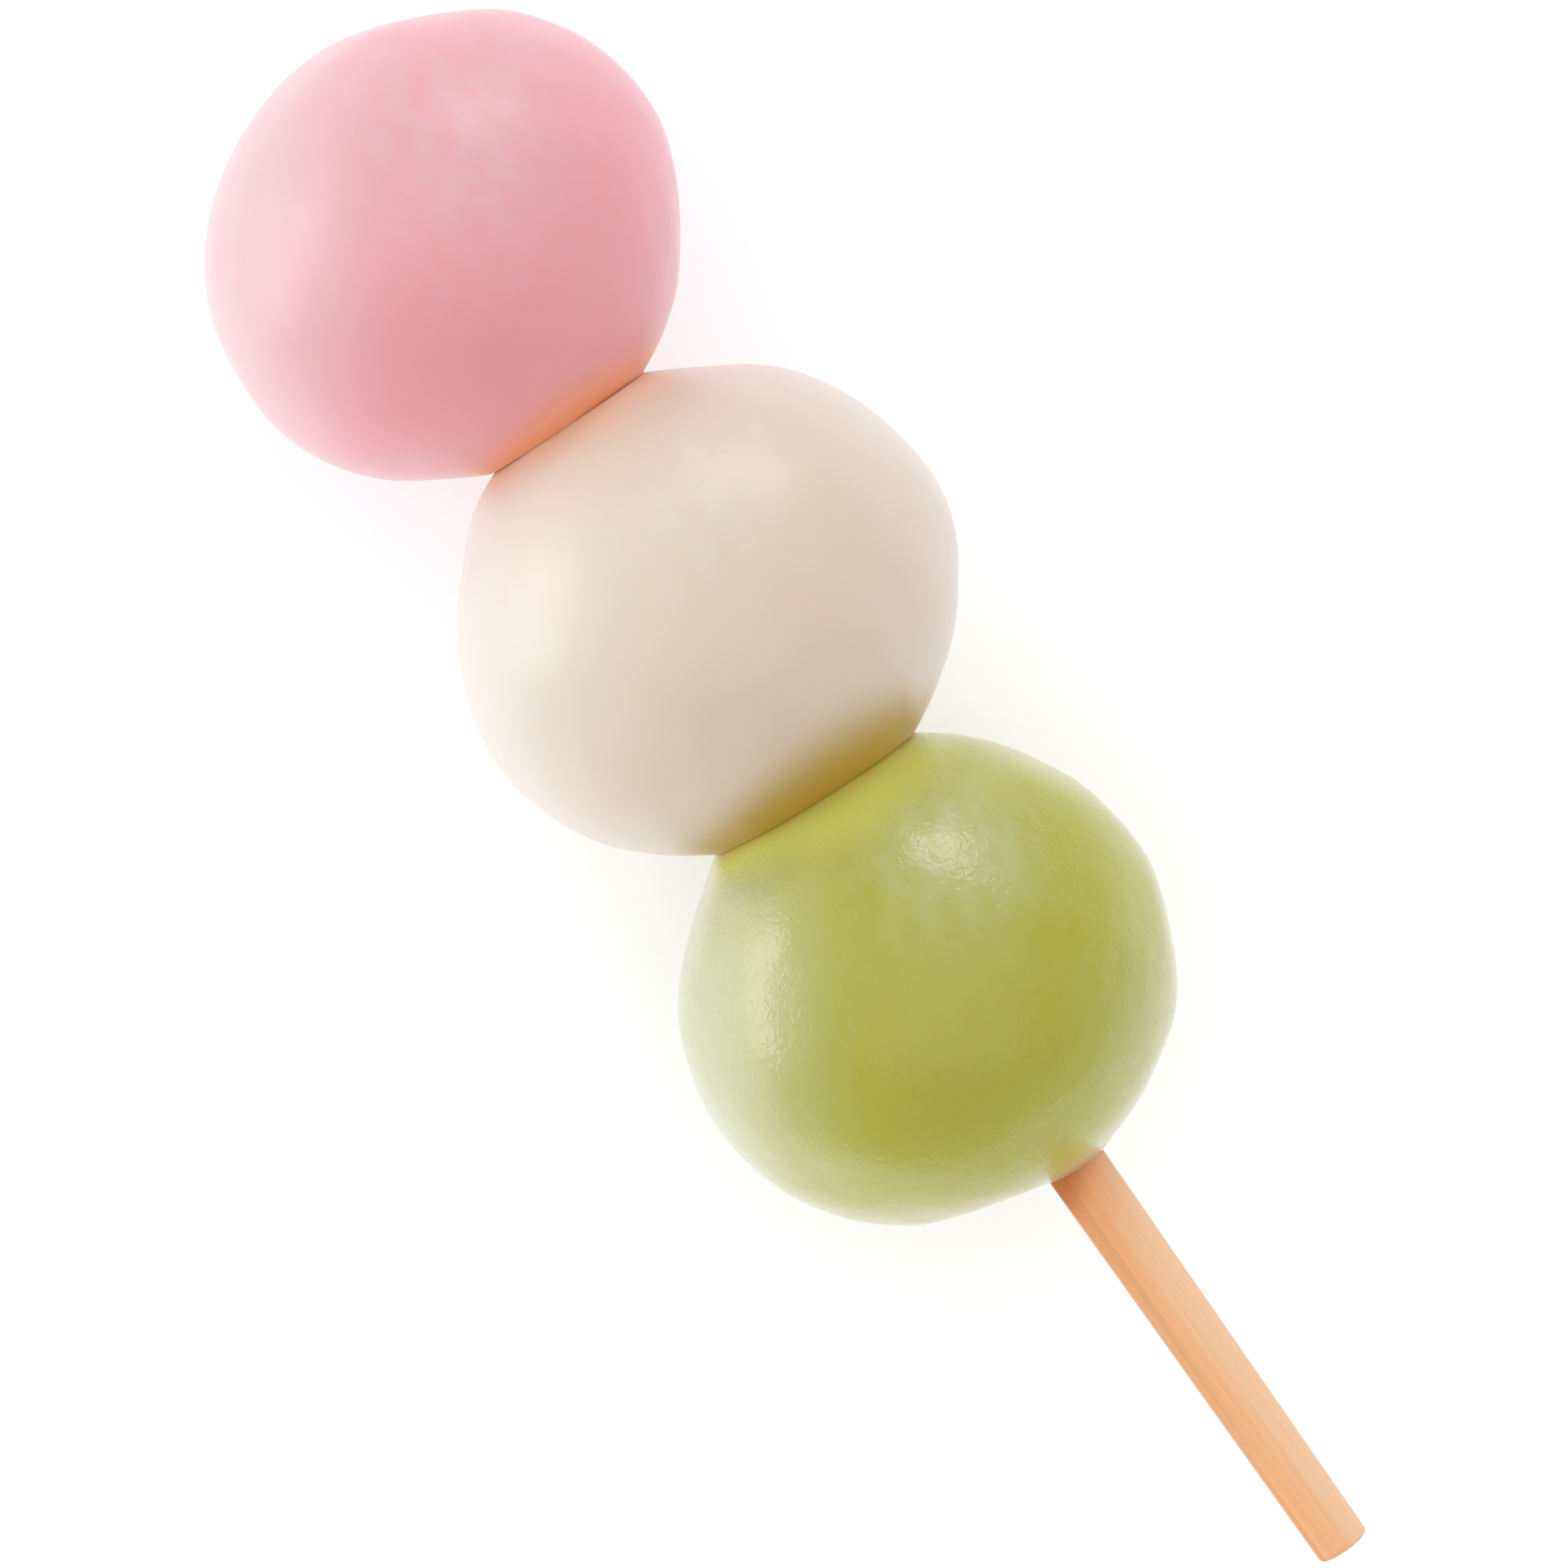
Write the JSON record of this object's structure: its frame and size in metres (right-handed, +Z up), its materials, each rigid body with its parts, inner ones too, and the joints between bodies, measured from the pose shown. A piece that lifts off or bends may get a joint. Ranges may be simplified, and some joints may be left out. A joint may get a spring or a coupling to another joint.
{
  "type": "dango skewer",
  "caption": "Pink, white and green balls of steamed rice dough, pressed together on a round bamboo skewer with a bare end to hold, lying flat as a sweet snack.",
  "frame": {"origin": "middle of the footprint, on the surface that the balls lie on", "axes": "+X along the skewer from the pink ball to the bare end that is held, +Y across the skewer, +Z up"},
  "size_m": [0.107, 0.0326, 0.029],
  "materials": {
    "pink_dough": "steamed rice dough, pale pink, moist satin skin with fine pores, slightly translucent",
    "white_dough": "steamed rice dough, cream white, moist satin skin with fine pores, slightly translucent",
    "green_dough": "steamed rice dough with mugwort, yellow green with faint darker flecks, moist satin skin, slightly translucent",
    "bamboo": "raw split bamboo turned round, lengthwise fibres and shallow facets, sawn end"
  },
  "bodies": {
    "root": {"pink_ball": "pink_dough", "white_ball": "white_dough", "green_ball": "green_dough", "skewer": "bamboo"}
  },
  "joints": []
}
